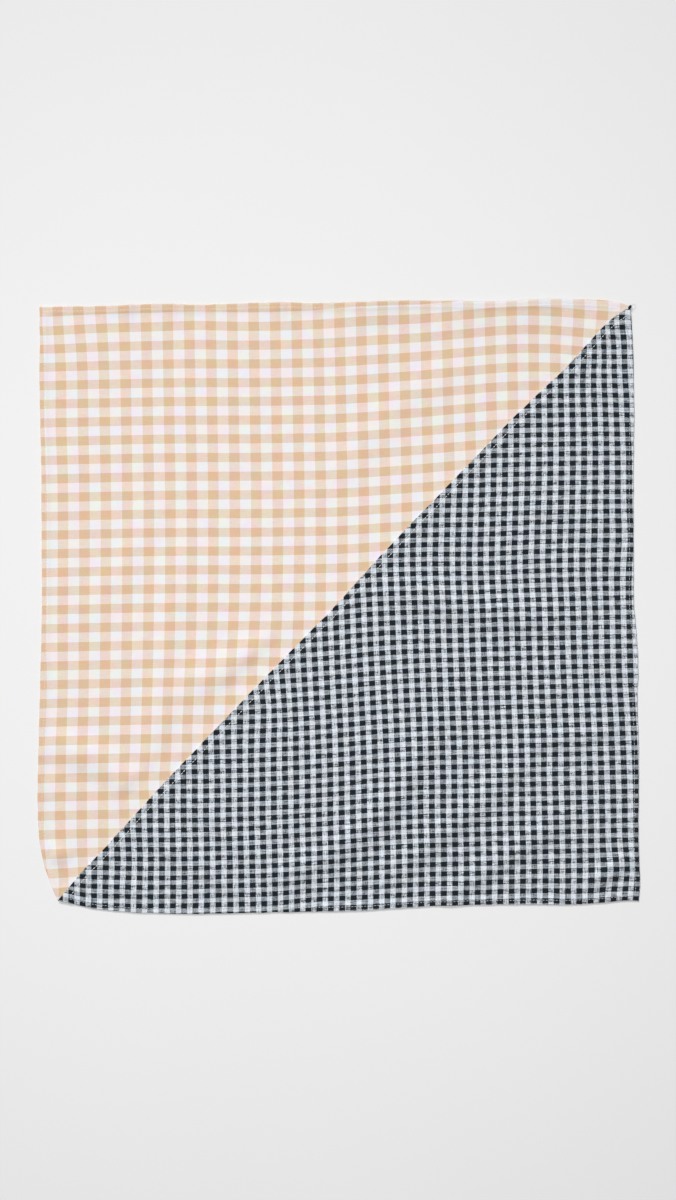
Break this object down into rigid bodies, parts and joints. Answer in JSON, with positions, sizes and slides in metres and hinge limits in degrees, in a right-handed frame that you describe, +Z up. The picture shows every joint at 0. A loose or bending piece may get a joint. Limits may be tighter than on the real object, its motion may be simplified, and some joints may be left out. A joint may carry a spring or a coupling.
{
  "type": "two-tone gingham bandana",
  "caption": "Square cotton bandana laid out flat: a tan gingham half and a navy gingham half joined on a diagonal lapped seam, with narrow turned hems.",
  "frame": {"origin": "on the surface that the cloth lies on, under the middle of its bounding box", "axes": "+X to the right along the lower hem, +Y away from the lower hem, +Z up out of the cloth's face"},
  "size_m": [0.5658, 0.5775, 0.0044],
  "materials": {
    "tan_gingham": "matt woven cotton, tan and white gingham squares about 10 mm wide and 9 mm high",
    "navy_gingham": "matt woven cotton with slubs, navy and pale blue-grey gingham squares about 5 mm wide and 4.5 mm high",
    "sewing_thread": "near-white polyester sewing thread"
  },
  "bodies": {
    "root": {"tan_panel": "tan_gingham", "navy_panel": "navy_gingham"}
  },
  "joints": []
}
